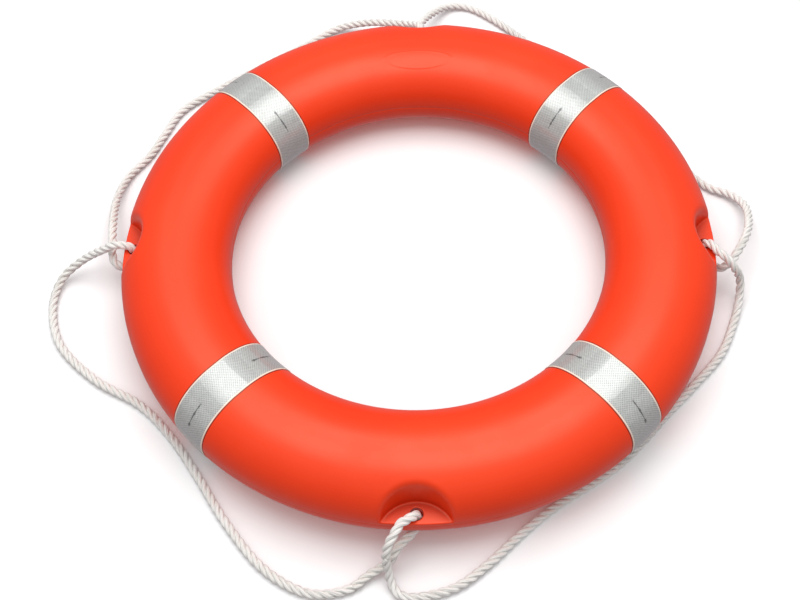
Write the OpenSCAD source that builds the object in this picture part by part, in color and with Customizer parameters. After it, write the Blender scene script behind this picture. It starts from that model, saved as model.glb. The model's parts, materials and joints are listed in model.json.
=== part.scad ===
// Ring lifebuoy: a foam-filled polyethylene ring with four rope lugs, four reflective tapes
// and one continuous grab line that runs through the lugs and hangs in four loops.
// Millimetres, +Z up. Origin at the centre of the ring on its mid-plane, one lug on -Y.

/* [Ring] */
// Outer diameter of the ring
outer_d = 710; // [690:5:740]
// Diameter of the clear opening
inner_d = 450; // [430:5:460]
// Thickness of the ring, underside to top
ring_h = 106; // [100:1:112]
// Wall of the moulded shell
shell_wall = 2.5; // [2:0.5:3]
// Width of the flat band the ring rests on
flat_w = 10; // [6:1:14]
// Height of the straight band along the parting line
land_h = 6; // [4:1:8]

/* [Rope lugs] */
// Height of the web's top face above the parting line
web_top = 5; // [4:1:6]
// Depth of the web's lower face below the parting line
web_bottom = 15; // [12:1:16]
// Radius of the recess floor
recess_r = 44; // [40:1:46]
// How far the floor reaches in from the outer rim
recess_depth = 26; // [24:1:28]
// Draft of the recess walls in degrees
recess_draft = 3; // [2:1:6]
// Diameter of the rope hole
rope_hole_d = 17; // [16:1:18]

/* [Reflective tapes] */
// Width of each tape
tape_w = 47; // [40:1:60]
// Thickness of each tape
tape_t = 0.4; // [0.3:0.1:0.6]

/* [Grab line] */
// Diameter of the rope
rope_d = 10.4; // [8:0.2:10.6]
// Diameter of the sleeve that joins the rope ends
sleeve_d = 17; // [16:1:20]
// Length of the joining sleeve
sleeve_l = 60; // [40:5:80]

/* [Foam openings] */
// Diameter of the filler plug stem
filler_d = 30; // [24:1:32]
// Diameter of the vent plug stem
vent_d = 18; // [14:1:20]

/* [Hidden] */

tube_r = (outer_d + inner_d) / 4;
half_w = (outer_d - inner_d) / 4;
half_h = ring_h / 2;
arc_steps = 8;
foam_gap = 0.2;
tape_gap = 0.05;
lug_count = 4;
recess_r_pos = outer_d / 2 - recess_depth + recess_r;
hole_r_pos = outer_d / 2 - 12;
rope_r = rope_d / 2;
floor_z = rope_r - half_h;
over_z = web_top + rope_r + 0.8;
under_z = web_bottom + rope_r + 0.8;
sleeve_gap = 0.6;
plug_head = 3;
plug_head_t = 2.4;
plug_seat_z = 5 - half_h;
plug_floor_z = plug_seat_z + 5;
plug_gap = 0.1;
boss_wall = 4;
filler_angle = 200;
vent_angle = 20;

shell_color = [0.98, 0.29, 0.13];
foam_color = [0.93, 0.86, 0.62];
tape_color = [0.80, 0.81, 0.83];
rope_color = [0.94, 0.93, 0.90];
sleeve_color = [0.20, 0.21, 0.23];

// ---------------------------------------------------------------- tube section

// One quarter of the oval section; sx picks the outer or inner side, grow moves it out or in.
function quarter(sx, grow) = [
  for (i = [0:arc_steps])
    let (a = i * 90 / arc_steps)
    [
      tube_r + sx * (flat_w / 2 + (half_w - flat_w / 2 + grow) * cos(a)),
      land_h / 2 + (half_h - land_h / 2 + grow) * sin(a)
    ]
];

function reversed(list) = [for (i = [len(list) - 1:-1:0]) list[i]];

// The upper half of the section, closed along the height called base.
function half_section(grow, base) = concat(
  [[tube_r + half_w + grow, base]],
  quarter(1, grow),
  reversed(quarter(-1, grow)),
  [[tube_r - half_w - grow, base]]
);

function full_section(grow) = concat(
  quarter(1, grow),
  reversed(quarter(-1, grow)),
  [for (p = quarter(-1, grow)) [p[0], -p[1]]],
  reversed([for (p = quarter(1, grow)) [p[0], -p[1]]])
);

module half_ring(grow, base) {
  rotate_extrude($fn = 180)
    polygon(half_section(grow, base));
}

module full_ring(grow) {
  rotate_extrude($fn = 180)
    polygon(full_section(grow));
}

// ---------------------------------------------------------------- lugs

// The four recesses over a web face at web_z, as drafted cones grown by a wall.
module recesses(web_z, grow) {
  top_z = half_h + 10;
  from_z = web_z - grow;
  for (i = [0:lug_count - 1])
    rotate([0, 0, i * 360 / lug_count])
      translate([recess_r_pos, 0, from_z])
        cylinder(
          h = top_z - from_z,
          r1 = recess_r + grow - grow * tan(recess_draft),
          r2 = recess_r + grow + (top_z - web_z) * tan(recess_draft),
          $fn = 96
        );
}

// The rope holes between two heights, grown by a wall.
module rope_holes(low_z, high_z, grow) {
  for (i = [0:lug_count - 1])
    rotate([0, 0, i * 360 / lug_count])
      translate([hole_r_pos, 0, low_z])
        cylinder(h = high_z - low_z, d = rope_hole_d + 2 * grow, $fn = 48);
}

// Half of the shell: outer form, hollowed up to the lug skins and the pipes round the rope holes.
module shell_half(web_z) {
  difference() {
    half_ring(0, 0);
    difference() {
      half_ring(-shell_wall, -1);
      recesses(web_z, shell_wall);
      rope_holes(-2, web_z, shell_wall);
    }
    recesses(web_z, 0);
    rope_holes(-1, web_z + 1, 0);
  }
}

// ---------------------------------------------------------------- foam openings

module at_plug(angle) {
  rotate([0, 0, angle])
    translate([tube_r, 0, 0])
      children();
}

// Thick disc inside the underside that seats a plug.
module plug_boss(angle, d) {
  intersection() {
    at_plug(angle)
      translate([0, 0, -half_h])
        cylinder(h = half_h + plug_floor_z, d = d + 2 * plug_head + 2 * boss_wall, $fn = 64);
    full_ring(-shell_wall / 2);
  }
}

// Stem bore and the wider pocket for the plug head.
module plug_cut(angle, d) {
  at_plug(angle) {
    translate([0, 0, -half_h - 1])
      cylinder(h = half_h + plug_floor_z + 2, d = d, $fn = 64);
    translate([0, 0, -half_h - 1])
      cylinder(h = half_h + 1 + plug_seat_z, d = d + 2 * plug_head, $fn = 64);
  }
}

module plug(angle, d) {
  slot_w = 2.4;
  slot_depth = 1.2;
  at_plug(angle)
    difference() {
      union() {
        translate([0, 0, plug_seat_z - plug_head_t])
          cylinder(h = plug_head_t, d = d + 2 * plug_head - 2 * plug_gap, $fn = 64);
        translate([0, 0, plug_seat_z - plug_head_t])
          cylinder(
            h = plug_floor_z - plug_seat_z + plug_head_t,
            d = d - 2 * plug_gap,
            $fn = 64
          );
      }
      translate([-d / 3, -slot_w / 2, plug_seat_z - plug_head_t - 1])
        cube([2 * d / 3, slot_w, slot_depth + 1]);
    }
}

// ---------------------------------------------------------------- shell, foam, tapes

module upper_shell() {
  color(shell_color)
    shell_half(web_top);
}

module lower_shell() {
  color(shell_color)
    difference() {
      union() {
        mirror([0, 0, 1])
          shell_half(web_bottom);
        plug_boss(filler_angle, filler_d);
        plug_boss(vent_angle, vent_d);
      }
      plug_cut(filler_angle, filler_d);
      plug_cut(vent_angle, vent_d);
    }
}

module foam_core() {
  color(foam_color)
    difference() {
      full_ring(-shell_wall - foam_gap);
      recesses(web_top, shell_wall + foam_gap);
      mirror([0, 0, 1])
        recesses(web_bottom, shell_wall + foam_gap);
      rope_holes(-web_bottom, web_top, shell_wall + foam_gap);
      foam_clearance(filler_angle, filler_d);
      foam_clearance(vent_angle, vent_d);
    }
}

module foam_clearance(angle, d) {
  at_plug(angle)
    translate([0, 0, -half_h])
      cylinder(
        h = half_h + plug_floor_z + foam_gap,
        d = d + 2 * plug_head + 2 * boss_wall + 2 * foam_gap,
        $fn = 64
      );
}

// A straight strip of tape wrapped once round the tube at a given angle.
module tape(angle) {
  color(tape_color)
    intersection() {
      difference() {
        full_ring(tape_gap + tape_t);
        full_ring(tape_gap);
      }
      rotate([0, 0, angle])
        translate([0, -tape_w / 2, -half_h - 10])
          cube([outer_d, tape_w, ring_h + 20]);
    }
}

// ---------------------------------------------------------------- rope

// Rope points are [angle round the ring, radius, height].
function to_xyz(p) = [p[1] * cos(p[0]), p[1] * sin(p[0]), p[2]];

// Smooth curve through the points, in cubic steps between each pair.
curve_steps = 5;
function clamp_at(list, i) = list[max(0, min(len(list) - 1, i))];
function between(p, q, r, s, t) =
  0.5 * (2 * q + (r - p) * t + (2 * p - 5 * q + 4 * r - s) * t * t
    + (3 * q - p - 3 * r + s) * t * t * t);
function curve(points) = concat(
  [
    for (i = [0:len(points) - 2])
      for (k = [0:curve_steps - 1])
        between(
          clamp_at(points, i - 1), points[i], points[i + 1], clamp_at(points, i + 2),
          k / curve_steps
        )
  ],
  [points[len(points) - 1]]
);

function unit(v) = v / norm(v);
function tangent(path, i) = unit(clamp_at(path, i + 1) - clamp_at(path, i - 1));
function square_to(n, t) = unit(n - t * (n * t));

// Rings of points round a path; the side vector is carried along so the skin does not twist.
function skin(path, radius) =
  let (
    tans = [for (i = [0:len(path) - 1]) tangent(path, i)],
    first = square_to(abs(tans[0][2]) > 0.7 ? [1, 0, 0] : [0, 0, 1], tans[0]),
    sides = [
      for (i = 0, n = first; i < len(path);
           i = i + 1, n = i < len(path) ? square_to(n, tans[i]) : n) n
    ],
    last = len(path) - 1
  )
  concat(
    [for (a = [18:24:66]) ring_of(path[0] - tans[0] * radius * cos(a), tans[0], sides[0], radius * sin(a))],
    [for (i = [0:last]) ring_of(path[i], tans[i], sides[i], radius)],
    [for (a = [66:-24:18]) ring_of(path[last] + tans[last] * radius * cos(a), tans[last], sides[last], radius * sin(a))]
  );

rope_sides = 12;
function ring_of(centre, t, n, r) =
  let (b = cross(t, n))
  [for (k = [0:rope_sides - 1]) centre + r * (cos(k * 360 / rope_sides) * n + sin(k * 360 / rope_sides) * b)];

// A round-ended rope through a list of rope points.
module rope_run(points) {
  rings = skin(curve([for (p = points) to_xyz(p)]), rope_r);
  m = len(rings);
  polyhedron(
    points = [for (ring = rings) for (p = ring) p],
    faces = concat(
      [[for (k = [rope_sides - 1:-1:0]) k]],
      [
        for (i = [0:m - 2])
          for (k = [0:rope_sides - 1])
            let (a = i * rope_sides, b = a + rope_sides, k2 = (k + 1) % rope_sides)
            each [[a + k, a + k2, b + k2], [a + k, b + k2, b + k]]
      ],
      [[for (k = [0:rope_sides - 1]) (m - 1) * rope_sides + k]]
    ),
    convexity = 6
  );
}

// The rope ends of neighbouring nodes are round and face each other across a small gap,
// so a loop can swing about the line through the centres of its two ends.

// Turn through a lug: from the under side, up through the hole and out over the rim.
lift_z = over_z + 1;
drop_z = under_z + 1;
hole_exit_z = over_z - 3.5;
hole_drop_z = under_z - 3.5;
hole_in = 2;

hitch_front_points = [
  [265.15, 382.3, -38.6],
  [265.6, 379.5, -35.5],
  [266.2, 375.5, -29],
  [266.7, 370, -24],
  [267.8, 361.5, -23],
  [269.3, 352, -drop_z],
  [270, hole_r_pos + hole_in, -hole_drop_z],
  [270, hole_r_pos, -6],
  [270, hole_r_pos, 0],
  [270, hole_r_pos + hole_in, hole_exit_z],
  [268.8, 351, lift_z],
  [267.4, 356.5, lift_z]
];

hitch_right_points = [
  [359.2, 383, -8.5],
  [357.8, 377, -10.5],
  [356.9, 368.5, -15],
  [357.2, 360.5, -21],
  [358.8, 352, -drop_z],
  [360, hole_r_pos + hole_in, -hole_drop_z],
  [360, hole_r_pos, -6],
  [360, hole_r_pos, 0],
  [360, hole_r_pos + hole_in, hole_exit_z],
  [358.8, 351, lift_z],
  [357.4, 356.5, lift_z]
];

hitch_back_points = [
  [89.3, 376, -13],
  [89.6, 367, -17],
  [89.9, 359, -21.5],
  [90, 351, -drop_z],
  [90, hole_r_pos + hole_in, -hole_drop_z],
  [90, hole_r_pos, -6],
  [90, hole_r_pos, 0],
  [90, hole_r_pos + hole_in, hole_exit_z],
  [90.4, 350.5, lift_z],
  [90.8, 355.3, lift_z]
];

hitch_left_points = [
  [178.1, 374.5, -10.5],
  [179.6, 373.5, -12.5],
  [180.9, 369.5, -16],
  [181.2, 362, -21],
  [180.7, 352.5, -drop_z],
  [180, hole_r_pos + hole_in, -hole_drop_z],
  [180, hole_r_pos, -6],
  [180, hole_r_pos, 0],
  [180, hole_r_pos + hole_in, hole_exit_z],
  [179.8, 350.5, lift_z],
  [179.7, 355, lift_z]
];

// The joining sleeve lies on a straight stretch of the back right loop.
sleeve_angle = 42;
sleeve_r_pos = 368;
sleeve_z = sleeve_d / 2 - half_h;

// Loops as they lie with the ring flat on the ground.
loop_front_right_points = [
  [266.6, 366, over_z],
  [265.5, 378, 2],
  [265.2, 386, -14],
  [265.3, 391, -30],
  [265.6, 400, -44],
  [267.4, 412, floor_z],
  [270.5, 414, floor_z],
  [276, 405, floor_z],
  [281.5, 385, floor_z],
  [288, 362, floor_z],
  [296, 347, floor_z],
  [311, 346, floor_z],
  [325, 348, floor_z],
  [333, 359, floor_z],
  [341, 376, floor_z],
  [348, 384.5, floor_z],
  [352.8, 389, -41],
  [355, 387, -22],
  [355.2, 378, -2],
  [356.2, 365.5, over_z]
];

loop_back_right_points = [
  [0.6, 389.3, -7.4],
  [4.3, 403, -12],
  [8.6, 414, -25],
  [12.2, 419, -36],
  [15.6, 411, -44],
  [19, 390, floor_z],
  [26, 375, floor_z],
  [sleeve_angle - 8, sleeve_r_pos / cos(8), sleeve_z],
  [sleeve_angle - 4, sleeve_r_pos / cos(4), sleeve_z],
  [sleeve_angle, sleeve_r_pos, sleeve_z],
  [sleeve_angle + 4, sleeve_r_pos / cos(4), sleeve_z],
  [sleeve_angle + 8, sleeve_r_pos / cos(8), sleeve_z],
  [60, 388, floor_z],
  [70, 415, floor_z],
  [77, 445, floor_z],
  [81.5, 460, floor_z],
  [85, 455, -44],
  [87.4, 430, -32],
  [88.7, 403, -19],
  [89.1, 387, -14]
];

loop_back_left_points = [
  [91.2, 366, over_z],
  [92.2, 381, 2],
  [95.2, 395, -12],
  [99.6, 412, -26],
  [103.6, 427, -40],
  [107, 430, floor_z],
  [113, 416, floor_z],
  [121, 409, floor_z],
  [131, 410, floor_z],
  [140, 418, floor_z],
  [146.5, 409, floor_z],
  [152, 403.5, floor_z],
  [158, 409, -46],
  [163, 405, -39],
  [167.5, 395, -27],
  [172.2, 384, -15],
  [176.3, 377, -9.5]
];

loop_front_left_points = [
  [179.5, 366, over_z],
  [179.3, 380, 1],
  [179.2, 413, -24],
  [181.4, 441, -42],
  [186.5, 450, floor_z],
  [193.5, 441, floor_z],
  [201.5, 409, floor_z],
  [209.5, 372, floor_z],
  [218, 361, floor_z],
  [227.5, 368, floor_z],
  [237.5, 391, floor_z],
  [246.5, 416, floor_z],
  [254, 425.5, floor_z],
  [259.5, 413, floor_z],
  [262.4, 394, -45.5],
  [263.8, 387.6, -42.3]
];

module rope_sleeve() {
  color(sleeve_color)
    rotate([0, 0, sleeve_angle])
      translate([sleeve_r_pos, 0, sleeve_z])
        rotate([90, 0, 0])
          difference() {
            cylinder(h = sleeve_l, d = sleeve_d, center = true, $fn = 48);
            cylinder(h = sleeve_l + 2, d = rope_d + 2 * sleeve_gap, center = true, $fn = 48);
          }
}

module rope_node(points) {
  color(rope_color)
    rope_run(points);
}

upper_shell();
lower_shell();
foam_core();
tape(315);  // tape_front_right
tape(45);  // tape_back_right
tape(135);  // tape_back_left
tape(225);  // tape_front_left
rope_node(hitch_front_points);  // hitch_front
rope_node(hitch_right_points);  // hitch_right
rope_node(hitch_back_points);  // hitch_back
rope_node(hitch_left_points);  // hitch_left
rope_node(loop_front_right_points);  // loop_front_right
rope_node(loop_back_right_points);  // loop_back_right
rope_node(loop_back_left_points);  // loop_back_left
rope_node(loop_front_left_points);  // loop_front_left
rope_sleeve();
plug(filler_angle, filler_d);  // filler_plug
plug(vent_angle, vent_d);  // vent_plug
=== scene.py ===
"""Ring lifebuoy: moulded orange shell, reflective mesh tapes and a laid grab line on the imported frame."""

import json
import math

import bpy
import numpy as np
from mathutils import Matrix, Vector


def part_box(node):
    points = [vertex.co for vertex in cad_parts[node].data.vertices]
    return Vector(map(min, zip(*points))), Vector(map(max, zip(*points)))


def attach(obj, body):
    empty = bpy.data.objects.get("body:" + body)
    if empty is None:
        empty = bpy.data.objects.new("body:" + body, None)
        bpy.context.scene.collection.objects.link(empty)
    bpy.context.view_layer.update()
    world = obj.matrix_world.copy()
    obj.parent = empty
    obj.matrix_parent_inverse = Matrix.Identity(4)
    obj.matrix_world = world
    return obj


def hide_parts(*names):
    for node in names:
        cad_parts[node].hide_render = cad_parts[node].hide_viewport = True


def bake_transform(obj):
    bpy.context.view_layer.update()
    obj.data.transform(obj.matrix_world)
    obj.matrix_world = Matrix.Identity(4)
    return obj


MM = 0.001

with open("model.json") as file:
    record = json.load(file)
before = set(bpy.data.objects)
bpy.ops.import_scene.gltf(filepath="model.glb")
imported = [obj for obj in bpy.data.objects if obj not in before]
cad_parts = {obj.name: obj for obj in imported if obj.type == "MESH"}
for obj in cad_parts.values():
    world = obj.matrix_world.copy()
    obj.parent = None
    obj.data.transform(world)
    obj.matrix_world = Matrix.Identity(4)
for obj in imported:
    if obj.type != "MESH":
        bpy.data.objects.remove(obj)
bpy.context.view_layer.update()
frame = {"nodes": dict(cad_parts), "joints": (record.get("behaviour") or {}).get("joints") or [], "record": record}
random = np.random.default_rng(7)

# ---------------------------------------------------------------- driving sizes, metres

shell_low, shell_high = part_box("upper_shell")
mounts = {m["name"]: m for m in frame["record"]["mounts"]}
OUTER_R = shell_high.x
INNER_R = mounts["inner_opening"]["dims"]["r_mm"] * MM
HALF_H = shell_high.z
TUBE_R = (OUTER_R + INNER_R) / 2
HALF_W = (OUTER_R - INNER_R) / 2

# Lugs: a web between two drafted round recesses, with a rope hole.
# RECESS_FOOT is the fillet between wall and web, WEB_EDGE the rounding towards the outside of the
# ring, which grows by WALL_EDGE_EXTRA up the wall.
WEB_TOP = 5 * MM
WEB_BOTTOM = 15 * MM
FLAT_HALF = 5 * MM
LAND_HALF = 3 * MM
RECESS_R = 44 * MM
RECESS_DEPTH = 26 * MM
RECESS_CENTRE = OUTER_R - RECESS_DEPTH + RECESS_R
RECESS_DRAFT = math.radians(3)
RECESS_FOOT = 2 * MM
WEB_EDGE = 1.4 * MM
WALL_EDGE_EXTRA = 4 * MM
WALL_EDGE_START = 1 * MM
WALL_EDGE_RISE = 12 * MM
HOLE_R = 7.3 * MM
HOLE_FLARE = 0.6 * MM
HOLE_CENTRE = OUTER_R - 12 * MM
LUG_COUNT = 4

# Rope: three strands laid round each other, LAY_LENGTH for one whole turn.
ROPE_R = 5.2 * MM
LAY_LENGTH = 32 * MM
STRANDS = 3
STRAND_SIDES = 12
STRAND_R = ROPE_R / (1 + 2 / math.sqrt(3))
STRAND_OFFSET = ROPE_R - STRAND_R

# Tape: MARK values place the plain dashes along it, TAPE_CELL is the pitch of its mesh.
TAPE_HALF = 23.5 * MM
TAPE_T = 0.45 * MM
TAPE_BORDER = 2.0 * MM
MARK_START = 203 * MM
MARK_PITCH = 105 * MM
MARK_LENGTH = 34 * MM
TAPE_CELL = 1.45 * MM


# ---------------------------------------------------------------- mesh helpers


def new_object(name, vertices, faces, material):
    """A smooth-shaded mesh object linked to the scene; material may be None."""
    mesh = bpy.data.meshes.new(name)
    mesh.from_pydata(np.asarray(vertices).tolist(), [], [list(f) for f in faces])
    mesh.validate()
    obj = bpy.data.objects.new(name, mesh)
    bpy.context.scene.collection.objects.link(obj)
    if material is not None:
        mesh.materials.append(material)
    mesh.shade_smooth()
    return obj


def grid_faces(rows, columns, wrap_rows=False, wrap_columns=False, start=0):
    """Quads over a rows x columns block of vertices, joined round where asked."""
    i = np.arange(rows if wrap_rows else rows - 1)
    j = np.arange(columns if wrap_columns else columns - 1)
    i, j = np.meshgrid(i, j, indexing="ij")
    i2 = (i + 1) % rows
    j2 = (j + 1) % columns
    quads = np.stack(
        [i * columns + j, i2 * columns + j, i2 * columns + j2, i * columns + j2], -1
    )
    return (quads.reshape(-1, 4) + start).tolist()


def set_uv(obj, uv_per_vertex):
    """Stores one UV pair per vertex, read by the procedural patterns."""
    mesh = obj.data
    layer = mesh.uv_layers.new(name="pattern")
    corners = np.zeros(len(mesh.loops), np.int32)
    mesh.loops.foreach_get("vertex_index", corners)
    layer.data.foreach_set("uv", np.asarray(uv_per_vertex, np.float32)[corners].ravel())


def cut(obj, cutter):
    """Removes cutter's volume from obj for good."""
    modifier = obj.modifiers.new("cut", "BOOLEAN")
    modifier.object = cutter
    modifier.operation = "DIFFERENCE"
    modifier.solver = "EXACT"
    evaluated = obj.evaluated_get(bpy.context.evaluated_depsgraph_get())
    mesh = bpy.data.meshes.new_from_object(evaluated)
    obj.modifiers.clear()
    obj.data = mesh
    bpy.data.objects.remove(cutter)


def lathe(profile, places, sides=48):
    """One mesh of closed turned solids, profile as (radius, z) from the lower face, at (x, y) places."""
    turns = np.arange(sides) * 2 * math.pi / sides
    vertices = []
    faces = []
    for x, y in places:
        start = len(vertices)
        for radius, z in profile:
            for t in turns:
                vertices.append((x + radius * math.cos(t), y + radius * math.sin(t), z))
        rows = len(profile)
        faces += [f[::-1] for f in grid_faces(rows, sides, wrap_columns=True, start=start)]
        faces.append([start + k for k in reversed(range(sides))])
        faces.append([start + (rows - 1) * sides + k for k in range(sides)])
    return new_object("lathe", vertices, faces, None)


# ---------------------------------------------------------------- material helpers


def srgb(r, g, b):
    """Linear colour from 0-255 display values."""
    def channel(c):
        c = c / 255
        return c / 12.92 if c <= 0.04045 else ((c + 0.055) / 1.055) ** 2.4

    return (channel(r), channel(g), channel(b), 1.0)


class Nodes:
    """A short way to write a node material round one Principled shader."""

    def __init__(self, name):
        self.material = bpy.data.materials.new(name)
        self.material.use_nodes = True
        self.tree = self.material.node_tree
        self.tree.nodes.clear()
        self.output = self.tree.nodes.new("ShaderNodeOutputMaterial")
        self.shader = self.tree.nodes.new("ShaderNodeBsdfPrincipled")
        self.link(self.shader.outputs[0], self.output.inputs["Surface"])

    def link(self, source, target):
        self.tree.links.new(source, target)

    def add(self, kind, inputs=None, **settings):
        node = self.tree.nodes.new(kind)
        for key, value in settings.items():
            setattr(node, key, value)
        for key, value in (inputs or {}).items():
            self.put(node.inputs[key], value)
        return node

    def put(self, socket, value):
        if isinstance(value, bpy.types.NodeSocket):
            self.link(value, socket)
        else:
            socket.default_value = value

    def math(self, operation, *values):
        node = self.add("ShaderNodeMath", operation=operation)
        for k, value in enumerate(values):
            self.put(node.inputs[k], value)
        return node.outputs[0]

    def noise(self, vector, scale, detail=2.0, roughness=0.5):
        node = self.add(
            "ShaderNodeTexNoise",
            {"Vector": vector, "Scale": scale, "Detail": detail, "Roughness": roughness},
        )
        return node.outputs["Fac"]

    def remap(self, value, low, high, to_low=0.0, to_high=1.0):
        node = self.add(
            "ShaderNodeMapRange",
            {"Value": value, "From Min": low, "From Max": high, "To Min": to_low, "To Max": to_high},
            interpolation_type="SMOOTHSTEP",
        )
        return node.outputs["Result"]

    def mix(self, factor, a, b, blend="MIX"):
        node = self.add("ShaderNodeMix", data_type="RGBA", blend_type=blend)
        self.put(node.inputs["Factor"], factor)
        self.put(node.inputs["A"], a)
        self.put(node.inputs["B"], b)
        return node.outputs["Result"]

    def bump(self, height, strength, distance, normal=None):
        node = self.add(
            "ShaderNodeBump", {"Height": height, "Strength": strength, "Distance": distance}
        )
        if normal is not None:
            self.link(normal, node.inputs["Normal"])
        return node.outputs["Normal"]

    def set(self, **values):
        for key, value in values.items():
            self.put(self.shader.inputs[key.replace("_", " ")], value)
        return self.material


# ---------------------------------------------------------------- materials


def moulded_orange():
    """Bright orange polyethylene: soft sheen, orange-peel skin, faint mottling, handling scuffs, painted shade in
    recesses and beside tapes.
    """
    n = Nodes("orange_polyethylene")
    orange = (0.83, 0.036, 0.0035, 1)
    pale_orange = (0.86, 0.042, 0.005, 1)
    flow_orange = (0.74, 0.028, 0.003, 1)
    worn_orange = (0.92, 0.12, 0.05, 1)
    recess_shade_orange = (0.30, 0.006, 0.001, 1)
    tape_edge_shadow = (0.16, 0.006, 0.002, 1)
    painted_shade_reach = 35 * MM

    place = n.add("ShaderNodeTexCoord").outputs["Object"]
    mottle = n.noise(place, 9.0, 4.0)
    flow = n.noise(place, 38.0, 3.0)
    base = n.mix(n.remap(mottle, 0.3, 0.7), orange, pale_orange)
    base = n.mix(n.remap(flow, 0.45, 0.8, 0.0, 0.10), base, flow_orange)
    edge = n.add("ShaderNodeNewGeometry").outputs["Pointiness"]
    rub = n.noise(place, 160.0, 3.0)
    worn = n.math("MULTIPLY", n.remap(edge, 0.52, 0.60, 0.0, 0.35), n.remap(rub, 0.4, 0.7))
    base = n.mix(worn, base, worn_orange)
    # Painted shade: ambient occlusion darkens the base colour in the recesses and other hollows of the shell.
    painted_crevice_shade = n.add(
        "ShaderNodeAmbientOcclusion", {"Distance": painted_shade_reach}, samples=8, only_local=True
    ).outputs["AO"]
    base = n.mix(n.remap(painted_crevice_shade, 0.35, 0.88, 0.75, 0.0), base, recess_shade_orange)
    # Painted shadow: a thin dark line on the shell just outside both edges of each tape.
    base = n.mix(tape_edge_line(n, place), base, tape_edge_shadow)

    scuff = n.noise(place, 14.0, 6.0, 0.7)
    roughness = n.remap(scuff, 0.35, 0.75, 0.34, 0.44)
    skin = n.noise(place, 420.0, 3.0)
    pits = n.noise(place, 1500.0, 2.0)
    normal = n.bump(skin, 0.12, 0.25 * MM)
    normal = n.bump(pits, 0.10, 0.08 * MM, normal)
    normal = n.bump(moulded_pad(n, place), 0.6, 0.45 * MM, normal)
    return n.set(
        Base_Color=base,
        Roughness=roughness,
        IOR=1.51,
        Normal=normal,
        Specular_IOR_Level=0.42,
        Specular_Tint=(1.0, 0.97, 0.72, 1),
    )


def moulded_pad(n, place):
    """Height of the blank oval pad raised on the top of the ring by the back lug."""
    pad_half_length = 42 * MM
    pad_half_width = 11.5 * MM
    pad_middle = TUBE_R - 26 * MM
    rim_sharpness = 9.0
    face_height = 0.35
    split = n.add("ShaderNodeSeparateXYZ", {"Vector": place})
    x = n.math("DIVIDE", split.outputs["X"], pad_half_length)
    y = n.math("DIVIDE", n.math("SUBTRACT", split.outputs["Y"], pad_middle), pad_half_width)
    reach = n.math("SQRT", n.math("ADD", n.math("MULTIPLY", x, x), n.math("MULTIPLY", y, y)))
    off_rim = n.math("ABSOLUTE", n.math("SUBTRACT", reach, 1.0))
    rim = n.math("SUBTRACT", 1.0, n.math("MULTIPLY", off_rim, rim_sharpness))
    inside = n.remap(reach, 1.0, 0.93, 0.0, face_height)
    height = n.math("MAXIMUM", n.math("MAXIMUM", rim, 0.0), inside)
    return n.math("MULTIPLY", height, n.math("GREATER_THAN", split.outputs["Z"], 0.0))


def tape_edge_line(n, place):
    """A thin painted shadow line on the shell along both edges of each tape."""
    split = n.add("ShaderNodeSeparateXYZ", {"Vector": place})
    total = n.math("ADD", split.outputs["X"], split.outputs["Y"])
    spread = n.math("SUBTRACT", split.outputs["X"], split.outputs["Y"])
    nearest = n.math("MINIMUM", n.math("ABSOLUTE", total), n.math("ABSOLUTE", spread))
    across = n.math("DIVIDE", nearest, math.sqrt(2))
    rise = n.remap(across, TAPE_HALF - 0.4 * MM, TAPE_HALF)
    fall = n.remap(across, TAPE_HALF + 0.9 * MM, TAPE_HALF + 1.9 * MM, 0.8, 0.0)
    return n.math("MULTIPLY", rise, fall)


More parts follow.
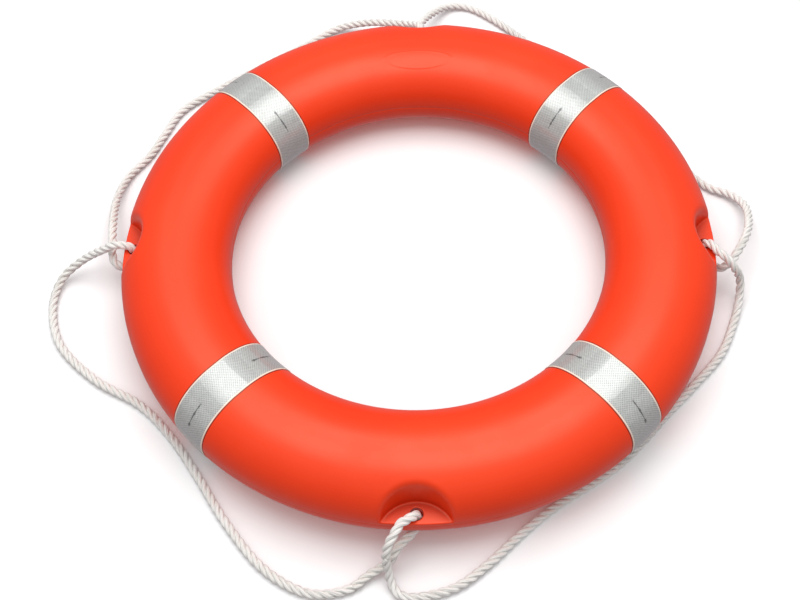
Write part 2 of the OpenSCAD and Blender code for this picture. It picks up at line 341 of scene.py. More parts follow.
def reflective_tape():
    """Silver mesh tape: square cells of tiny mirrors under a clear film, with a sealed pale border."""
    n = Nodes("reflective_mesh_tape")
    dark_cell = (0.27, 0.28, 0.27, 1)
    bright_cell = (0.58, 0.60, 0.58, 1)
    rib_grey = (0.60, 0.60, 0.575, 1)
    dirt_grey = (0.32, 0.32, 0.30, 1)
    mark_ink = (0.05, 0.055, 0.055, 1)
    border_tint = (0.86, 0.70, 0.58, 1)
    cell_rough = (0.30, 0.30, 0.30, 1)
    rib_rough = (0.42, 0.42, 0.42, 1)
    border_rough = (0.55, 0.55, 0.55, 1)
    fold_length = 17 * MM
    fold_wander = 9 * MM
    uv = n.add("ShaderNodeUVMap", uv_map="pattern").outputs["UV"]
    place = n.add("ShaderNodeTexCoord").outputs["Object"]
    split = n.add("ShaderNodeSeparateXYZ", {"Vector": uv})
    across = split.outputs["X"]
    along = split.outputs["Y"]
    u = n.math("DIVIDE", across, TAPE_CELL)
    v = n.math("DIVIDE", along, TAPE_CELL)

    def ridge(value):
        centred = n.math("ABSOLUTE", n.math("SUBTRACT", n.math("FRACT", value), 0.5))
        return n.remap(centred, 0.34, 0.46)

    ribs = n.math("MAXIMUM", ridge(u), ridge(v))
    cell = n.add(
        "ShaderNodeCombineXYZ", {"X": n.math("FLOOR", u), "Y": n.math("FLOOR", v)}
    ).outputs[0]
    sparkle = n.add("ShaderNodeTexWhiteNoise", {"Vector": cell}, noise_dimensions="3D")
    odd = n.math("MODULO", n.math("ADD", n.math("FLOOR", u), n.math("FLOOR", v)), 2.0)
    weave = n.math("MULTIPLY", n.math("ABSOLUTE", odd), 0.75)
    shade = n.math("ADD", weave, n.math("MULTIPLY", sparkle.outputs["Value"], 0.25))
    mirror = n.mix(shade, dark_cell, bright_cell)
    body = n.mix(n.math("MULTIPLY", ribs, 0.6), mirror, rib_grey)

    dirt = n.remap(n.noise(place, 60.0, 6.0, 0.7), 0.52, 0.75, 0.0, 0.3)
    body = n.mix(dirt, body, dirt_grey)

    step = n.math("SUBTRACT", along, MARK_START)
    from_mark = n.math("ABSOLUTE", n.math("WRAP", step, MARK_PITCH / 2, -MARK_PITCH / 2))
    in_mark = n.remap(from_mark, MARK_LENGTH / 2, MARK_LENGTH / 2 - 4 * MM)
    mark_line = n.add("ShaderNodeCombineXYZ", {"X": 0.0, "Y": along}).outputs[0]
    broken = n.noise(mark_line, 130.0, 3.0, 0.6)
    width = n.remap(broken, 0.40, 0.65, 0.3 * MM, 1.5 * MM)
    off_line = n.math("SUBTRACT", n.math("ABSOLUTE", across), width)
    marks = n.math("MULTIPLY", n.remap(off_line, 0.4 * MM, -0.2 * MM), in_mark)
    body = n.mix(n.math("MULTIPLY", marks, 0.8), body, mark_ink)

    border_starts = TAPE_HALF - TAPE_BORDER
    border_is_full = TAPE_HALF - 0.7 * TAPE_BORDER
    border = n.remap(n.math("ABSOLUTE", across), border_starts, border_is_full)
    body = n.mix(border, body, border_tint)
    plain = n.math("SUBTRACT", 1.0, border)
    metal = n.math("MULTIPLY", plain, n.math("SUBTRACT", 0.45, n.math("MULTIPLY", ribs, 0.3)))
    rough = n.mix(border, n.mix(ribs, cell_rough, rib_rough), border_rough)

    height = n.math("ADD", n.math("MULTIPLY", ribs, 0.8), n.math("MULTIPLY", shade, 0.15))
    height = n.math("MULTIPLY", height, plain)
    normal = n.bump(height, 0.35, 0.18 * MM)
    normal = n.bump(n.noise(place, 45.0, 4.0), 0.25, 0.9 * MM, normal)
    wander = n.math("MULTIPLY", n.noise(place, 12.0), fold_wander)
    fold = n.math("PINGPONG", n.math("ADD", along, wander), fold_length)
    normal = n.bump(n.math("DIVIDE", fold, fold_length), 1.0, 0.9 * MM, normal)
    return n.set(
        Base_Color=body,
        Metallic=metal,
        Roughness=rough,
        Normal=normal,
        Coat_Weight=0.7,
        Coat_Roughness=0.16,
    )


def laid_rope():
    """Off-white laid synthetic rope: yarns twisted along each strand, painted grey shade in the grooves between
    strands.
    """
    n = Nodes("laid_rope")
    white = (0.84, 0.83, 0.80, 1)
    dull_white = (0.77, 0.755, 0.71, 1)
    yarn_shadow = (0.56, 0.54, 0.48, 1)
    bright_fibre = (0.90, 0.90, 0.88, 1)
    groove_shade = (0.52, 0.49, 0.43, 1)
    yarns = 7.0
    yarn_lay = 9 * MM
    uv = n.add("ShaderNodeUVMap", uv_map="pattern").outputs["UV"]
    place = n.add("ShaderNodeTexCoord").outputs["Object"]
    split = n.add("ShaderNodeSeparateXYZ", {"Vector": uv})
    around = split.outputs["X"]
    along = split.outputs["Y"]
    phase = n.math("SUBTRACT", n.math("MULTIPLY", around, yarns), n.math("DIVIDE", along, yarn_lay))
    wave = n.math("SINE", n.math("MULTIPLY", phase, 2 * math.pi))
    stretched = n.add(
        "ShaderNodeCombineXYZ",
        {"X": n.math("MULTIPLY", phase, 0.6), "Y": n.math("MULTIPLY", along, 30.0)},
    ).outputs[0]
    fibre = n.noise(stretched, 9.0, 4.0, 0.7)
    patches = n.noise(place, 22.0, 4.0, 0.6)
    base = n.mix(n.remap(patches, 0.35, 0.7), white, dull_white)
    base = n.mix(n.remap(wave, -1.0, -0.1, 0.22, 0.0), base, yarn_shadow)
    base = n.mix(n.remap(fibre, 0.45, 0.8, 0.0, 0.25), base, bright_fibre)
    # Painted shade: the colour darkens where the surface is hollow, in the grooves between the strands.
    hollow = n.add("ShaderNodeNewGeometry").outputs["Pointiness"]
    base = n.mix(n.remap(hollow, 0.50, 0.42, 0.0, 0.55), base, groove_shade)
    normal = n.bump(wave, 0.55, 0.25 * MM)
    normal = n.bump(fibre, 0.35, 0.12 * MM, normal)
    return n.set(
        Base_Color=base,
        Roughness=n.remap(fibre, 0.3, 0.7, 0.55, 0.75),
        Normal=normal,
        Sheen_Weight=0.25,
        Sheen_Roughness=0.5,
    )


def shrunk_sleeve():
    """Black shrink sleeve with fine length-wise drawing marks and a dull bloom."""
    n = Nodes("shrunk_sleeve")
    place = n.add("ShaderNodeTexCoord").outputs["Object"]
    bloom = n.noise(place, 120.0, 5.0, 0.65)
    base = n.mix(n.remap(bloom, 0.4, 0.75), srgb(28, 28, 30), srgb(58, 58, 60))
    normal = n.bump(n.noise(place, 900.0, 3.0), 0.2, 0.1 * MM)
    return n.set(Base_Color=base, Roughness=n.remap(bloom, 0.3, 0.7, 0.42, 0.6), Normal=normal)


def plug_plastic():
    """The plugs are moulded in the shell colour, a little duller and with turning marks."""
    n = Nodes("plug_plastic")
    place = n.add("ShaderNodeTexCoord").outputs["Object"]
    mottle = n.noise(place, 90.0, 4.0)
    base = n.mix(n.remap(mottle, 0.35, 0.7), (0.72, 0.030, 0.006, 1), (0.82, 0.042, 0.010, 1))
    normal = n.bump(n.noise(place, 700.0, 3.0), 0.25, 0.15 * MM)
    return n.set(Base_Color=base, Roughness=n.remap(mottle, 0.3, 0.7, 0.42, 0.55), Normal=normal)


def closed_cell_foam():
    """Cream polyurethane foam with fine cells."""
    n = Nodes("closed_cell_foam")
    place = n.add("ShaderNodeTexCoord").outputs["Object"]
    cells = n.add("ShaderNodeTexVoronoi", {"Vector": place, "Scale": 700.0}).outputs["Distance"]
    base = n.mix(n.remap(cells, 0.1, 0.6), srgb(214, 190, 132), srgb(240, 224, 176))
    return n.set(Base_Color=base, Roughness=0.9, Normal=n.bump(cells, 0.6, 0.4 * MM))


def pale_floor():
    """Near-white studio floor."""
    n = Nodes("pale_floor")
    place = n.add("ShaderNodeTexCoord").outputs["Object"]
    grain = n.noise(place, 25.0, 3.0)
    base = n.mix(grain, (0.90, 0.90, 0.90, 1), (0.93, 0.93, 0.93, 1))
    return n.set(Base_Color=base, Roughness=0.85, Specular_IOR_Level=0.2)


ORANGE = moulded_orange()
TAPE = reflective_tape()
ROPE = laid_rope()
SLEEVE = shrunk_sleeve()
PLUG = plug_plastic()
FOAM = closed_cell_foam()


# ---------------------------------------------------------------- moulded shell


def soft_max(a, b, width):
    """The larger of a and b, rounded over width where they cross."""
    h = np.maximum(width - np.abs(a - b), 0) / width
    return np.maximum(a, b) + h * h * width / 4


def shell_distance(r, angle, z, web):
    """Signed distance to the moulded shape near one lug whose web face is at height web."""
    round_w = HALF_W - FLAT_HALF
    round_h = HALF_H - LAND_HALF
    across = np.maximum(np.abs(r - TUBE_R) - FLAT_HALF, 0) / round_w
    upright = np.maximum(z - LAND_HALF, 0) / round_h
    reach = np.hypot(across, upright)
    slope = np.hypot(across / round_w, upright / round_h)
    tube = np.where(reach > 0.05, reach * (reach - 1) / np.maximum(slope, 1e-6), -HALF_H)
    from_axis = np.hypot(r * np.cos(angle) - RECESS_CENTRE, r * np.sin(angle))
    wall = (from_axis - RECESS_R - (z - web) * math.tan(RECESS_DRAFT)) * math.cos(RECESS_DRAFT)
    recess = soft_max(wall, web - z, RECESS_FOOT)
    up_the_wall = np.clip((z - web - WALL_EDGE_START) / WALL_EDGE_RISE, 0, 1)
    edge = WEB_EDGE + up_the_wall * WALL_EDGE_EXTRA
    return soft_max(tube, -recess, edge)


def section_points(angle, web, count):
    """The outline of the upper half at one angle from a lug, from the outer to the inner parting edge.

    Rays from the middle of the tube find the surface. The points are then shared out by length,
    closer together where the outline bends and on the outer side, where the recesses are.
    """
    # Degrees up from the outer parting edge. Most rays look at the web and the recess.
    turn = np.radians(
        np.concatenate(
            [
                np.linspace(0, 14, 900, False),
                np.linspace(14, 60, 500, False),
                np.linspace(60, 180, 500),
            ]
        )
    )
    halvings = 36
    sharpest_bend = 900
    outer_density = 2.2
    bend_density = 0.008
    near = np.zeros_like(turn)
    far = np.full_like(turn, 1.5 * HALF_W)
    for _ in range(halvings):
        middle = (near + far) / 2
        r = TUBE_R + middle * np.cos(turn)
        z = middle * np.sin(turn)
        inside = shell_distance(r, angle, z, web) < 0
        near = np.where(inside, middle, near)
        far = np.where(inside, far, middle)
    r = TUBE_R + near * np.cos(turn)
    z = near * np.sin(turn)

    step = np.hypot(np.diff(r), np.diff(z))
    heading = np.unwrap(np.arctan2(np.diff(z), np.diff(r)))
    bend = np.abs(np.gradient(heading)) / np.maximum(step, 1e-7)
    window = np.hanning(41) / np.hanning(41).sum()
    bend = np.convolve(np.minimum(bend, sharpest_bend), window, "same")
    density = np.where(r[1:] > TUBE_R + FLAT_HALF, outer_density, 1.0)
    weight = step * (density + bend_density * bend)
    run = np.concatenate([[0], np.cumsum(weight)])
    wanted = np.linspace(0, run[-1], count)
    return np.stack([np.interp(wanted, run, r), np.interp(wanted, run, z)], -1)


def shell_half(name, upper):
    """Half the moulded ring as a closed solid, with more sections round each lug than between them.

    The parting edges step in by a hair, so that the two halves show a fine line where they meet.
    """
    lug_reach = math.radians(9.6)
    lug_sections = 62
    plain_sections = 34
    points_across = 108
    seam = 0.15 * MM

    close = np.linspace(0, lug_reach, lug_sections)
    wide = np.linspace(lug_reach, math.pi / LUG_COUNT, plain_sections)[1:]
    angles = np.concatenate([close, wide])
    web = WEB_TOP if upper else WEB_BOTTOM
    sections = np.stack([section_points(a, web, points_across) for a in angles])
    first = sections[:, :1] - [seam, 0]
    last = sections[:, -1:] + [seam, 0]
    sections[:, 0, 1] = seam
    sections[:, -1, 1] = seam
    sections = np.concatenate([first, sections, last], 1)
    sections[:, 0, 1] = 0
    sections[:, -1, 1] = 0

    columns = []
    for lug in range(LUG_COUNT):
        middle = lug * 2 * math.pi / LUG_COUNT
        for k in range(len(angles) - 1, 0, -1):
            columns.append((middle - angles[k], sections[k]))
        for k in range(len(angles) - 1):
            columns.append((middle + angles[k], sections[k]))
    vertices = []
    for turn, section in columns:
        z = section[:, 1] if upper else -section[:, 1]
        vertices.append(
            np.stack([section[:, 0] * math.cos(turn), section[:, 0] * math.sin(turn), z], -1)
        )
    rows = len(columns)
    across = len(vertices[0])
    faces = grid_faces(rows, across, wrap_rows=True, wrap_columns=True)
    if not upper:
        faces = [f[::-1] for f in faces]
    obj = new_object(name, np.concatenate(vertices), faces, ORANGE)
    cut(obj, rope_hole_cutter())
    return obj


def rope_hole_cutter():
    """The rope holes with their rounded mouths."""
    overshoot = 4 * MM

    def mouth(face):
        bend = [
            (HOLE_R + HOLE_FLARE * (1 - math.cos(t)), face - HOLE_FLARE * (1 - math.sin(t)))
            for t in np.radians([0, 30, 60, 90])
        ]
        return bend + [(HOLE_R + HOLE_FLARE, face + overshoot)]

    profile = [(r, -z) for r, z in reversed(mouth(WEB_BOTTOM))] + mouth(WEB_TOP)
    turns = np.arange(LUG_COUNT) * 2 * math.pi / LUG_COUNT
    places = [(HOLE_CENTRE * math.cos(t), HOLE_CENTRE * math.sin(t)) for t in turns]
    return lathe(profile, places)


def plug_pocket_cutter(node):
    """The round pocket in the underside that a plug's head sits in."""
    low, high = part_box(node)
    centre = (low + high) / 2
    head_r = (high.x - low.x) / 2
    gap = 0.1 * MM
    head_t = 2.4 * MM
    chamfer = 8 * gap
    floor = low.z + head_t
    profile = [
        (head_r + chamfer, -HALF_H - 5 * MM),
        (head_r + chamfer, low.z - 1 * MM),
        (head_r + gap, low.z),
        (head_r + gap, floor),
    ]
    return lathe(profile, [(centre.x, centre.y)], 64)


def build_shell():
    """Both halves, the lower one with its plug pockets."""
    upper = shell_half("shell_upper_half", True)
    lower = shell_half("shell_lower_half", False)
    cut(lower, plug_pocket_cutter("filler_plug"))
    cut(lower, plug_pocket_cutter("vent_plug"))
    for obj, node in ((upper, "upper_shell"), (lower, "lower_shell")):
        obj.data.shade_smooth()
        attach(obj, "ring")
        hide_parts(node)


# ---------------------------------------------------------------- reflective tapes


def outline_point(turn):
    """A point of the tube's section and the outward direction there, at a turn round its middle."""
    crossing_rate = 12
    c, s = math.cos(turn), math.sin(turn)
    flat = max(-1.0, min(1.0, crossing_rate * c)) * FLAT_HALF
    land = max(-1.0, min(1.0, crossing_rate * s)) * LAND_HALF
    point = np.array([TUBE_R + flat + (HALF_W - FLAT_HALF) * c, land + (HALF_H - LAND_HALF) * s])
    out = np.array([c / (HALF_W - FLAT_HALF), s / (HALF_H - LAND_HALF)])
    return point, out / np.hypot(*out)


def tape_profile():
    """Cross-section of the tape: (across, height), a thin slab with softened edges."""
    edge = 0.35 * MM
    under_height = 0.05 * MM
    under_half = TAPE_HALF - 0.1 * MM
    top = [(-TAPE_HALF, 0.3 * TAPE_T), (-TAPE_HALF + 0.5 * edge, 0.8 * TAPE_T)]
    inset = TAPE_HALF - edge
    top += [(u, TAPE_T) for u in np.linspace(-inset, inset, 33)]
    top += [(-u, h) for u, h in reversed(top[:2])]
    under = [(u, under_height) for u in np.linspace(under_half, -under_half, 9)]
    return np.array(top + under)


def tape_strip(name, node, angle):
    """A straight strip wrapped once round the tube, its end lapped over its start on the inner side."""
    lap_at = math.radians(206)
    lap = math.radians(9)
    rows = 300
    gather_height = 0.25 * MM
    gather_pitch = 3.1 * MM
    edge_height = 0.05 * MM
    edge_pitch = 7.3 * MM
    blister_height = 0.08 * MM
    blister_length = 15 * MM
    blister_width = 6 * MM

    turns = np.linspace(lap_at - 2 * math.pi, lap_at + lap, rows)
    profile = tape_profile()
    across = profile[:, 0]
    on_top = profile[:, 1] > TAPE_T / 2
    near_edge = (np.abs(across) / TAPE_HALF) ** 3
    phase = random.uniform(0, 2 * math.pi, 4)

    along = 0.0
    vertices = []
    uv = []
    previous = None
    for t in turns:
        point, out = outline_point(t)
        if previous is not None:
            along += float(np.hypot(*(point - previous)))
        previous = point
        over = np.clip((t - lap_at + lap * 0.6) / (lap * 0.5), 0, 1) * TAPE_T
        gather = max(0.0, -math.cos(t)) ** 2 * gather_height
        side = phase[0] + np.sign(across)
        ripple = near_edge * gather * np.abs(np.sin(along / gather_pitch + side))
        ripple += near_edge * edge_height * np.abs(np.sin(along / edge_pitch + 2 * side))
        blister = np.sin(along / blister_length + phase[1]) * np.sin(across / blister_width + phase[2])
        height = profile[:, 1] + over + on_top * (ripple + blister_height * np.maximum(blister, 0))
        r = point[0] + height * out[0]
        z = point[1] + height * out[1]
        x = np.sqrt(r * r - across * across)
        vertices.append(np.stack([x, across, z], -1))
        uv.append(np.stack([across, np.full_like(across, along)], -1))
    columns = len(profile)
    vertices = np.concatenate(vertices)
    c, s = math.cos(angle), math.sin(angle)
    x, y = vertices[:, 0].copy(), vertices[:, 1].copy()
    vertices[:, 0] = x * c - y * s
    vertices[:, 1] = x * s + y * c
    faces = grid_faces(rows, columns, wrap_columns=True)
    faces.append(list(range(columns)))
    faces.append([(rows - 1) * columns + k for k in reversed(range(columns))])
    obj = new_object(name, vertices, faces, TAPE)
    set_uv(obj, np.concatenate(uv))
    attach(obj, "ring")
    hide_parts(node)


def build_tapes():
    """One tape halfway between each pair of neighbouring lugs."""
    for k, side in enumerate(("back_right", "back_left", "front_left", "front_right")):
        node = "tape_" + side
        tape_strip(node + "_strip", node, (2 * k + 1) * math.pi / 4)


# ---------------------------------------------------------------- grab line

# Rope points are (angle round the ring in degrees, radius, height), in millimetres.
# Names are for heights and radii that come back: FLOOR lies on the ground, OVER crosses the rim,
# LIFT and EXIT stand above the web, DROP and DROP_EXIT hang below it, HOLE and MOUTH are radii.
GROUND = -53
FLOOR = 5.2 + GROUND
OVER = 11
LIFT = 12
EXIT = 7.5
DROP = 22
DROP_EXIT = 17.5
HOLE = 343
MOUTH = 345

OVER_FRONT = [(270, HOLE, 0), (270, MOUTH, EXIT), (268.8, 351, LIFT), (267.4, 356.5, LIFT)]
OVER_RIGHT = [(360, HOLE, 0), (360, MOUTH, EXIT), (358.8, 351, LIFT), (357.4, 356.5, LIFT)]
OVER_BACK = [(90, HOLE, 0), (90, MOUTH, EXIT), (89.6, 350.5, LIFT), (89.5, 356, 11.5)]
OVER_LEFT = [(180, HOLE, 0), (180, MOUTH, EXIT), (179.8, 350.5, LIFT), (179.7, 355, LIFT)]
UNDER_FRONT = [
    (270, HOLE, 0),
    (270, HOLE, -6),
    (270, MOUTH, -DROP_EXIT),
    (269.3, 352, -DROP),
    (267.8, 361.5, -23),
    (266.7, 370, -24),
    (266.2, 375.5, -29),
    (265.6, 379.5, -35.5),
    (265.15, 382.3, -38.6),
]
UNDER_RIGHT = [
    (360, HOLE, 0),
    (360, HOLE, -6),
    (360, MOUTH, -DROP_EXIT),
    (358.8, 352, -DROP),
    (357.2, 360.5, -21),
    (356.9, 368.5, -15),
    (357.8, 377, -10.5),
    (359.2, 383, -8.5),
]
UNDER_BACK = [
    (90, HOLE, 0),
    (90, HOLE, -6),
    (90, MOUTH, -DROP_EXIT),
    (90, 351, -DROP),
    (90, 359, -21.5),
    (90.1, 367, -17),
    (90, 376, -13.5),
]
UNDER_LEFT = [
    (180, HOLE, 0),
    (180, HOLE, -6),
    (180, MOUTH, -DROP_EXIT),
    (180.7, 352.5, -DROP),
    (181.2, 362, -21),
    (180.9, 369.5, -16),
    (179.6, 373.5, -12.5),
    (178.1, 374.5, -10.5),
]
LOOP_FRONT_RIGHT = [
    (266.6, 366, OVER),
    (265.5, 378, 2),
    (265.2, 386, -14),
    (265.5, 391, -30),
    (266, 400, -44),
    (267.4, 412, FLOOR),
    (270.5, 414, FLOOR),
    (276, 405, FLOOR),
    (281.5, 385, FLOOR),
    (288, 362, FLOOR),
    (296, 347, FLOOR),
    (311, 346, FLOOR),
    (325, 348, FLOOR),
    (333, 359, FLOOR),
    (341, 376, FLOOR),
    (348, 384.5, FLOOR),
    (352.8, 389, -41),
    (355, 387, -22),
    (355.2, 378, -2),
    (356.2, 365.5, OVER),
]
SLEEVE_ANGLE = 42
SLEEVE_R_POS = 368
SLEEVE_Z = 8.5 + GROUND
SLEEVE_STEP = 4
SLEEVE_R_NEAR = SLEEVE_R_POS / math.cos(math.radians(SLEEVE_STEP))
SLEEVE_R_FAR = SLEEVE_R_POS / math.cos(math.radians(2 * SLEEVE_STEP))
LOOP_BACK_RIGHT = [
    (0.6, 389.3, -7.4),
    (4.3, 403, -12),
    (8.6, 414, -25),
    (12.2, 419, -36),
    (15.6, 411, -44),
    (19, 390, FLOOR),
    (26, 375, FLOOR),
    (SLEEVE_ANGLE - 2 * SLEEVE_STEP, SLEEVE_R_FAR, SLEEVE_Z),
    (SLEEVE_ANGLE - SLEEVE_STEP, SLEEVE_R_NEAR, SLEEVE_Z),
    (SLEEVE_ANGLE, SLEEVE_R_POS, SLEEVE_Z),
    (SLEEVE_ANGLE + SLEEVE_STEP, SLEEVE_R_NEAR, SLEEVE_Z),
    (SLEEVE_ANGLE + 2 * SLEEVE_STEP, SLEEVE_R_FAR, SLEEVE_Z),
    (60, 388, FLOOR),
    (70, 417.5, FLOOR),
    (77, 445, FLOOR),
    (81.5, 460, FLOOR),
    (85, 455, -44),
    (87.4, 430, -32),
    (89.1, 403, -19),
    (89.8, 388, -14),
]
LOOP_BACK_LEFT = [
    (90.2, 365.5, 9.5),
    (91.9, 377, -1),
    (95.2, 392.5, -12.5),
    (99.6, 412, -26),
    (103.6, 427, -40),
    (107, 430, FLOOR),
    (113, 416, FLOOR),
    (121, 409, FLOOR),
    (131, 410, FLOOR),
    (140, 418, FLOOR),
    (146.5, 409, FLOOR),
    (152, 403.5, FLOOR),
    (158, 409, -46),
    (163, 405, -39),
    (167.5, 395, -27),
    (172.2, 384, -15),
    (176.3, 377, -9.5),
]
LOOP_FRONT_LEFT = [
    (179.5, 366, OVER),
    (179.3, 380, 1),
    (179.2, 413, -24),
    (181.4, 441, -42),
    (186.5, 450, FLOOR),
    (193.5, 441, FLOOR),
    (201.5, 409, FLOOR),
    (209.5, 372, FLOOR),
    (218, 361, FLOOR),
    (227.5, 368, FLOOR),
    (237.5, 391, FLOOR),
    (246.5, 416, FLOOR),
    (254, 425.5, FLOOR),
    (259.5, 413, FLOOR),
    (262.4, 394, -45.5),
    (263.8, 387.6, -42.3),
]


def to_xyz(points):
    """Rope points in metres, in the shared frame."""
    p = np.array(points, float)
    a = np.radians(p[:, 0])
    return np.stack([p[:, 1] * np.cos(a), p[:, 1] * np.sin(a), p[:, 2]], -1) * MM


def lengths_along(path):
    """Distance from the start of a path to each of its points."""
    return np.concatenate([[0], np.cumsum(np.linalg.norm(np.diff(path, axis=0), axis=1))])


def smooth_curve(control, spacing):
    """A Catmull-Rom curve through the control points, evenly spaced and lightly eased."""
    steps_per_span = 24
    easing_passes = 6
    padded = np.concatenate([control[:1], control, control[-1:]])
    t = np.linspace(0, 1, steps_per_span, endpoint=False)[:, None]
    pieces = []
    for i in range(len(control) - 1):
        p, q, r, s = padded[i : i + 4]
        pieces.append(
            0.5
            * (
                2 * q
                + (r - p) * t
                + (2 * p - 5 * q + 4 * r - s) * t**2
                + (3 * q - p - 3 * r + s) * t**3
            )
        )
    path = np.concatenate(pieces + [control[-1:]])
    run = lengths_along(path)
    count = int(round(run[-1] / spacing)) + 1
    even = np.linspace(0, run[-1], count)
    path = np.stack([np.interp(even, run, path[:, k]) for k in range(3)], -1)
    for _ in range(easing_passes):
        path[1:-1] = (path[:-2] + 2 * path[1:-1] + path[2:]) / 4
    return path


def carried_frames(path):
    """Tangent and two square directions along a path, carried along without twist."""
    tangent = np.gradient(path, axis=0)
    tangent /= np.linalg.norm(tangent, axis=1)[:, None]
    side = np.zeros_like(path)
    any_other_direction = [0.3, 0.9, 0.1]
    first = np.cross(tangent[0], any_other_direction)
    side[0] = first / np.linalg.norm(first)
    for i in range(1, len(path)):
        carried = side[i - 1] - tangent[i] * (side[i - 1] @ tangent[i])
        side[i] = carried / np.linalg.norm(carried)
    return tangent, side, np.cross(tangent, side)


def tube_rings(path, radius, sides):
    """Rings of points round a path, with their pattern coordinates."""
    _, side, other = carried_frames(path)
    turns = np.arange(sides) * 2 * math.pi / sides
    rings = (
        path[:, None]
        + radius * np.cos(turns)[None, :, None] * side[:, None]
        + radius * np.sin(turns)[None, :, None] * other[:, None]
    )
    around = np.broadcast_to((turns / (2 * math.pi))[None], (len(path), sides))
    along = np.broadcast_to(lengths_along(path)[:, None], (len(path), sides))
    return rings, np.stack([around, along], -1)


def lay_strands(path):
    """The three strands laid right-handed round a path, pressed a little into each other."""
    squeeze = 1.04
    _, side, other = carried_frames(path)
    run = lengths_along(path)
    strands = []
    for k in range(STRANDS):
        turn = 2 * math.pi * (run / LAY_LENGTH + k / STRANDS)
        centre = (
            path
            + STRAND_OFFSET * np.cos(turn)[:, None] * side
            + STRAND_OFFSET * np.sin(turn)[:, None] * other
        )
        strands.append(tube_rings(centre, STRAND_R * squeeze, STRAND_SIDES))
    return strands


def rope_length(name, strands, first, last):
    """The rope between two rows of its strands, each strand closed at both ends."""
    rows = last + 1 - first
    vertices, faces, uv = [], [], []
    for k, (rings, pattern) in enumerate(strands):
        start = k * rows * STRAND_SIDES
        end = start + (rows - 1) * STRAND_SIDES
        vertices.append(rings[first : last + 1].reshape(-1, 3))
        uv.append(pattern[first : last + 1].reshape(-1, 2))
        skin = grid_faces(rows, STRAND_SIDES, wrap_columns=True, start=start)
        faces += [f[::-1] for f in skin]
        faces.append([start + j for j in reversed(range(STRAND_SIDES))])
        faces.append([end + j for j in range(STRAND_SIDES)])
    obj = new_object(name, np.concatenate(vertices), faces, ROPE)
    set_uv(obj, np.concatenate(uv))
    return obj


def nearest_row(path, point):
    """The row of a path closest to a rope point."""
    return int(np.argmin(np.linalg.norm(path - to_xyz([point])[0], axis=1)))


def grab_rope(side, first_hitch, loop, last_hitch, first_lug, last_lug):
    """One rope from lug to lug: a length at each end and the swinging loop between them.

    Each end takes bend and spare rows past where the loop leaves or meets it; only the loop is attached to the
    hinge's moving body.
    """
    joint = next(j for j in frame["joints"] if j["child"] == "grab_loop_" + side)
    spacing = 1.7 * MM
    bend = 9
    spare = 10
    path = smooth_curve(to_xyz(first_hitch + loop + last_hitch[::-1]), spacing)
    strands = lay_strands(path)
    leave = nearest_row(path, loop[0])
    arrive = nearest_row(path, loop[-1])
    swing_from = leave + bend + spare
    swing_to = arrive - bend - spare

    first = rope_length("rope_" + side + "_first_end", strands, 0, swing_from)
    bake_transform(first)
    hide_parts("hitch_" + first_lug)

    middle = rope_length("rope_" + side + "_loop", strands, swing_from, swing_to)
    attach(middle, joint["child"])
    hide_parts("loop_" + side)

    last = rope_length("rope_" + side + "_last_end", strands, swing_to, len(path) - 1)
    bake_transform(last)
    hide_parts("hitch_" + last_lug)


def sleeve(body):
    """The sleeve shrunk over the rope joint, showing the strands beneath it."""
    half_length = 30 * MM
    outer_r = 7.9 * MM
    lip = 1.2 * MM
    lip_length = 3 * MM
    strand_relief = 0.32 * MM
    crease_height = 0.03 * MM
    grip = 0.97
    rows, sides = 61, 60
    along = np.linspace(-half_length, half_length, rows)
    ends = np.clip((half_length - np.abs(along)) / lip_length, 0, 1)
    swell = outer_r - lip * (1 - np.sqrt(1 - (1 - ends) ** 2))
    turns = np.arange(sides) * 2 * math.pi / sides
    strand = np.cos(STRANDS * (turns[None] - 2 * math.pi * along[:, None] / LAY_LENGTH))
    crease = random.normal(0, crease_height, (rows, sides))
    radius = swell[:, None] + strand_relief * strand * ends[:, None] + crease
    inner = np.full((1, sides), ROPE_R * grip)
    radius = np.concatenate([inner, radius, inner])
    along = np.concatenate([along[:1], along, along[-1:]])
    angle = math.radians(SLEEVE_ANGLE)
    outward = np.array([math.cos(angle), math.sin(angle), 0])
    forward = np.array([-math.sin(angle), math.cos(angle), 0])
    upward = np.array([0, 0, 1.0])
    centre = outward * SLEEVE_R_POS * MM + upward * SLEEVE_Z * MM
    vertices = (
        centre
        + along[:, None, None] * forward
        + (radius * np.cos(turns))[:, :, None] * outward
        + (radius * np.sin(turns))[:, :, None] * upward
    )
    faces = [f[::-1] for f in grid_faces(rows + 2, sides, wrap_columns=True)]
    faces.append([k for k in range(sides)])
    faces.append([(rows + 1) * sides + k for k in reversed(range(sides))])
    obj = new_object("rope_joint_sleeve", vertices.reshape(-1, 3), faces, SLEEVE)
    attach(obj, body)
    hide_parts("rope_sleeve")


def build_grab_line():
    """The four ropes round the ring, and the sleeve on the back right one."""
    grab_rope("front_right", OVER_FRONT, LOOP_FRONT_RIGHT, OVER_RIGHT, "front", "right")
    grab_rope("back_right", UNDER_RIGHT, LOOP_BACK_RIGHT, UNDER_BACK, "right", "back")
    grab_rope("back_left", OVER_BACK, LOOP_BACK_LEFT, UNDER_LEFT, "back", "left")
    grab_rope("front_left", OVER_LEFT, LOOP_FRONT_LEFT, UNDER_FRONT, "left", "front")
    sleeve("grab_loop_back_right")


# ---------------------------------------------------------------- carried-over CAD nodes


def dress_cad_nodes():
    """Plugs and foam keep their CAD shapes and get their own materials."""
    finishes = {
        "filler_plug": (PLUG, "plug"),
        "vent_plug": (PLUG, "plug"),
        "foam_core": (FOAM, "foam"),
    }
    for node, (material, slot_name) in finishes.items():
        obj = frame["nodes"][node]
        obj.data.materials.clear()
        obj.data.materials.append(material)


# ---------------------------------------------------------------- floor, sky, light, camera


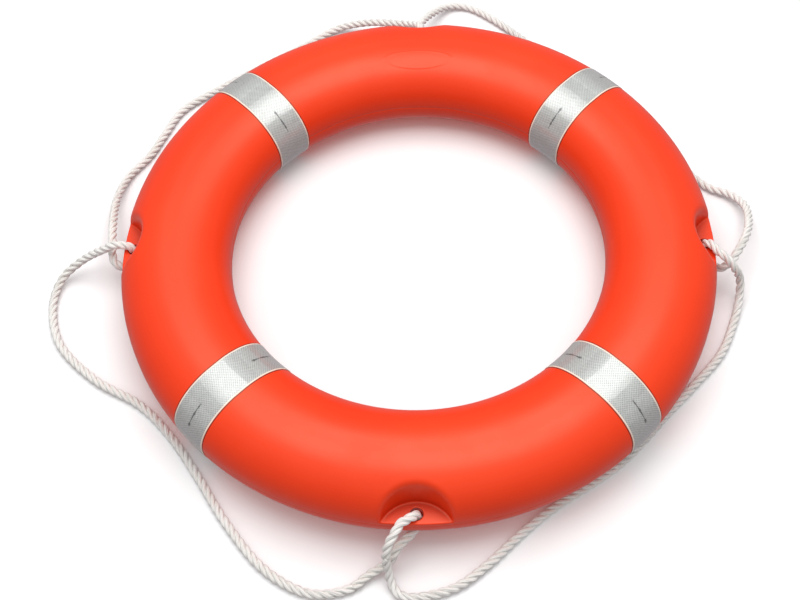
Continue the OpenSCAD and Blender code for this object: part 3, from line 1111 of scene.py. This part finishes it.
def build_floor():
    """A very large floor just under the ring, kept out of reflections and bounced light."""
    half = 60.0
    z = -HALF_H - 0.2 * MM
    floor = new_object(
        "studio_floor",
        [(-half, -half, z), (half, -half, z), (half, half, z), (-half, half, z)],
        [(0, 1, 2, 3)],
        pale_floor(),
    )
    floor.visible_glossy = False
    floor.visible_diffuse = False


def build_world():
    """A soft sky, brighter overhead than at the horizon; the camera sees plain near-white instead."""
    seen_background = (0.93, 0.93, 0.94, 1)
    sky_strength = 0.95
    world = bpy.data.worlds.new("studio")
    bpy.context.scene.world = world
    world.use_nodes = True
    tree = world.node_tree
    tree.nodes.clear()
    out = tree.nodes.new("ShaderNodeOutputWorld")
    background = tree.nodes.new("ShaderNodeBackground")
    coordinate = tree.nodes.new("ShaderNodeTexCoord")
    split = tree.nodes.new("ShaderNodeSeparateXYZ")
    ramp = tree.nodes.new("ShaderNodeValToRGB")
    path = tree.nodes.new("ShaderNodeLightPath")
    mix = tree.nodes.new("ShaderNodeMix")
    mix.data_type = "RGBA"
    stops = ramp.color_ramp.elements
    stops[0].position = 0.0
    stops[0].color = (0.48, 0.44, 0.46, 1)
    stops[1].position = 0.8
    stops[1].color = (1.0, 1.0, 1.0, 1)
    stops.new(0.04).color = (0.40, 0.38, 0.39, 1)
    stops.new(0.5).color = (0.56, 0.55, 0.555, 1)
    tree.links.new(coordinate.outputs["Generated"], split.inputs[0])
    tree.links.new(split.outputs["Z"], ramp.inputs[0])
    tree.links.new(path.outputs["Is Camera Ray"], mix.inputs["Factor"])
    tree.links.new(ramp.outputs["Color"], mix.inputs["A"])
    mix.inputs["B"].default_value = seen_background
    tree.links.new(mix.outputs["Result"], background.inputs["Color"])
    background.inputs["Strength"].default_value = sky_strength
    tree.links.new(background.outputs[0], out.inputs["Surface"])


def build_light():
    """One large softbox overhead, a little behind the middle of the ring, aimed at its centre."""
    place = Vector((0.0, 0.25, 1.9))
    data = bpy.data.lights.new("overhead_softbox", "AREA")
    data.shape = "RECTANGLE"
    data.size = 1.8
    data.size_y = 1.5
    data.energy = 27
    obj = bpy.data.objects.new("overhead_softbox", data)
    obj.location = place
    obj.rotation_euler = (-place).to_track_quat("-Z", "Y").to_euler()
    bpy.context.scene.collection.objects.link(obj)


def build_camera():
    """A long lens from in front, 55 degrees above the ring, framed a little off its axis."""
    azimuth = math.radians(2.27)
    elevation = math.radians(55.11)
    roll = math.radians(-2.47)
    distance = 1.5597
    back = Vector(
        (
            math.sin(azimuth) * math.cos(elevation),
            -math.cos(azimuth) * math.cos(elevation),
            math.sin(elevation),
        )
    )
    right = Vector((math.cos(azimuth), math.sin(azimuth), 0))
    up = back.cross(right)
    right, up = (
        right * math.cos(roll) + up * math.sin(roll),
        up * math.cos(roll) - right * math.sin(roll),
    )
    data = bpy.data.cameras.new("camera")
    data.lens = 58.19
    data.shift_x = -0.0225
    data.shift_y = -0.0638
    obj = bpy.data.objects.new("camera", data)
    place = Matrix((right, up, back)).transposed().to_4x4()
    place.translation = back * distance
    obj.matrix_world = place
    bpy.context.scene.collection.objects.link(obj)
    bpy.context.scene.camera = obj


build_shell()
build_tapes()
build_grab_line()
dress_cad_nodes()
build_floor()
build_world()
build_light()
build_camera()
bpy.context.scene.view_settings.view_transform = "Standard"
